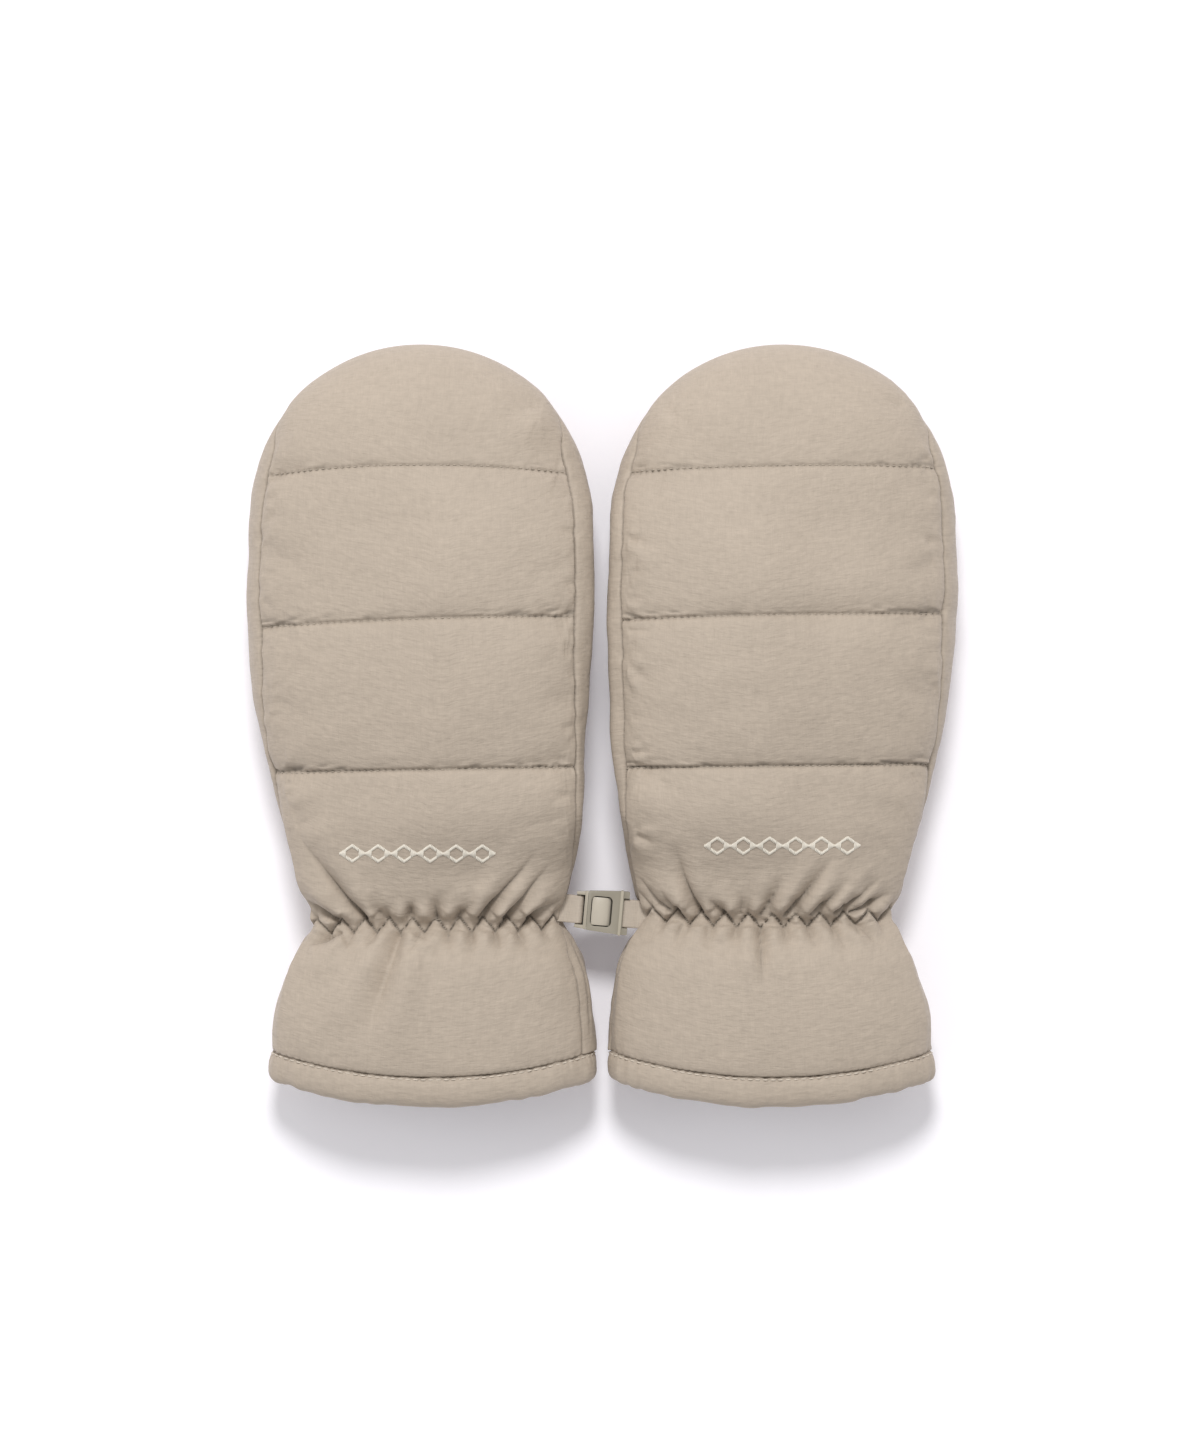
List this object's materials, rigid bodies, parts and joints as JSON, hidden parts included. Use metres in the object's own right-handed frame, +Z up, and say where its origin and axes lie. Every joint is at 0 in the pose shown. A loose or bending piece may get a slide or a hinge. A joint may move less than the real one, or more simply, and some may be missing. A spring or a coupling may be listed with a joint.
{
  "type": "pair of ski mittens",
  "caption": "Quilted, padded ski mittens lying palm down, with elastic wrists and folded thumbs, clipped together by a small side-release webbing buckle.",
  "frame": {"origin": "middle of the pair's footprint, on the surface it lies on", "axes": "+Z up, +Y towards the fingertips, +X towards the right mitten"},
  "size_m": [0.252, 0.2707, 0.0563],
  "materials": {
    "shell_fabric": "woven nylon, faint sheen",
    "wadding": "soft wadding",
    "fleece": "brushed fleece",
    "elastic": "braided elastic",
    "embroidery": "satin stitch",
    "webbing": "woven webbing",
    "thread": "polyester thread",
    "plastic": "moulded, satin"
  },
  "bodies": {
    "left_mitten": {"left_back_shell": "shell_fabric", "left_side_gusset": "shell_fabric", "left_palm_shell": "shell_fabric", "left_back_padding": "wadding", "left_palm_padding": "wadding", "left_back_lining": "fleece", "left_palm_lining": "fleece", "left_thumb_base_shell": "shell_fabric", "left_thumb_base_padding": "wadding", "left_thumb_base_lining": "fleece", "left_hem_band": "shell_fabric", "left_wrist_elastic": "elastic", "left_embroidered_motif": "embroidery", "left_strap": "webbing", "left_quilt_thread_1": "thread", "left_quilt_thread_2": "thread", "left_quilt_thread_3": "thread", "left_wrist_thread": "thread"},
    "left_thumb": {"left_thumb_shell": "shell_fabric", "left_thumb_padding": "wadding", "left_thumb_lining": "fleece"},
    "buckle_plug": {"buckle_plug": "plastic"},
    "latch": {"buckle_latch": "plastic"},
    "buckle_socket": {"buckle_socket": "plastic"},
    "right_mitten": {"right_back_shell": "shell_fabric", "right_side_gusset": "shell_fabric", "right_palm_shell": "shell_fabric", "right_back_padding": "wadding", "right_palm_padding": "wadding", "right_back_lining": "fleece", "right_palm_lining": "fleece", "right_thumb_base_shell": "shell_fabric", "right_thumb_base_padding": "wadding", "right_thumb_base_lining": "fleece", "right_hem_band": "shell_fabric", "right_wrist_elastic": "elastic", "right_embroidered_motif": "embroidery", "right_strap": "webbing", "right_quilt_thread_1": "thread", "right_quilt_thread_2": "thread", "right_quilt_thread_3": "thread", "right_wrist_thread": "thread"},
    "right_thumb": {"right_thumb_shell": "shell_fabric", "right_thumb_padding": "wadding", "right_thumb_lining": "fleece"}
  },
  "joints": [
    {"name": "left_thumb_open", "type": "hinge", "parent": "left_mitten", "child": "left_thumb", "pos_m": [-0.031, 0.00875, 0.0005], "axis": [-1, 0, 0], "range_deg": [0, 40]},
    {"name": "left_strap_pivot", "type": "hinge", "parent": "left_mitten", "child": "buckle_plug", "pos_m": [-0.00857, -0.066, 0.0215], "axis": [0.0872, 0.9962, 0], "range_deg": [-12, 12]},
    {"name": "latch_press", "type": "hinge", "parent": "buckle_plug", "child": "latch", "pos_m": [0.00408, -0.06711, 0.0209], "axis": [-0.0872, -0.9962, 0], "range_deg": [0, 10], "stiffness_Nm_per_rad": 0.02},
    {"name": "buckle_unclip", "type": "slide", "parent": "buckle_plug", "child": "buckle_socket", "axis": [0.9962, -0.0872, 0], "range_m": [0, 0.03], "deforming": ["buckle_latch"]},
    {"name": "right_strap_pivot", "type": "hinge", "parent": "buckle_socket", "child": "right_mitten", "pos_m": [0.00857, -0.0675, 0.0215], "axis": [0.0872, 0.9962, 0], "range_deg": [-12, 12]},
    {"name": "right_thumb_open", "type": "hinge", "parent": "right_mitten", "child": "right_thumb", "pos_m": [0.031, 0.00875, 0.0005], "axis": [-1, 0, 0], "range_deg": [0, 40]}
  ]
}
